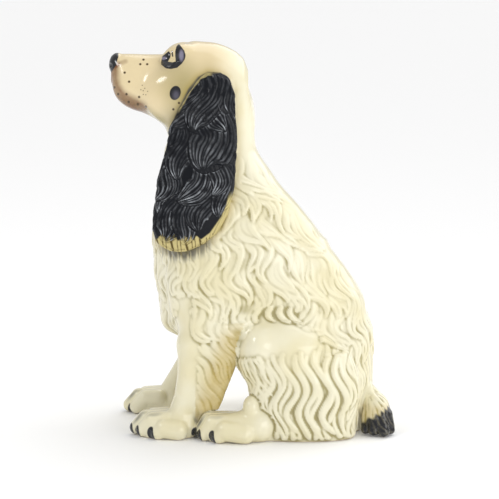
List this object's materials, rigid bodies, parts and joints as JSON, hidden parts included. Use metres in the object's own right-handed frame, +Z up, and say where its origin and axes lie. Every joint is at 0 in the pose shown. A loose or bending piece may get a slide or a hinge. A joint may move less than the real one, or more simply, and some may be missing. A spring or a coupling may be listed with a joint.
{
  "type": "ceramic dog figurine",
  "caption": "Seated spaniel figurine in glazed earthenware, a hollow body and head with luted ears, legs, feet and tail.",
  "frame": {"origin": "middle of the outline seen from above, at the height of the surface it stands on", "axes": "+Z up; the dog faces -X, so its left side is towards -Y"},
  "size_m": [0.2913, 0.1558, 0.3996],
  "materials": {
    "body_glaze": "high-gloss ivory glaze with olive tint in the hair grooves",
    "head_glaze": "high-gloss ivory glaze with hand-painted nose, eyes and muzzle dots",
    "ear_glaze": "high-gloss black glaze with a cream lower edge",
    "tail_glaze": "high-gloss ivory glaze brushed black at the tip"
  },
  "bodies": {
    "root": {"torso_shell": "body_glaze", "head_shell": "head_glaze", "left_ear": "ear_glaze", "right_ear": "ear_glaze", "left_foreleg": "body_glaze", "right_foreleg": "body_glaze", "left_hind_foot": "body_glaze", "right_hind_foot": "body_glaze", "tail": "tail_glaze"}
  },
  "joints": []
}
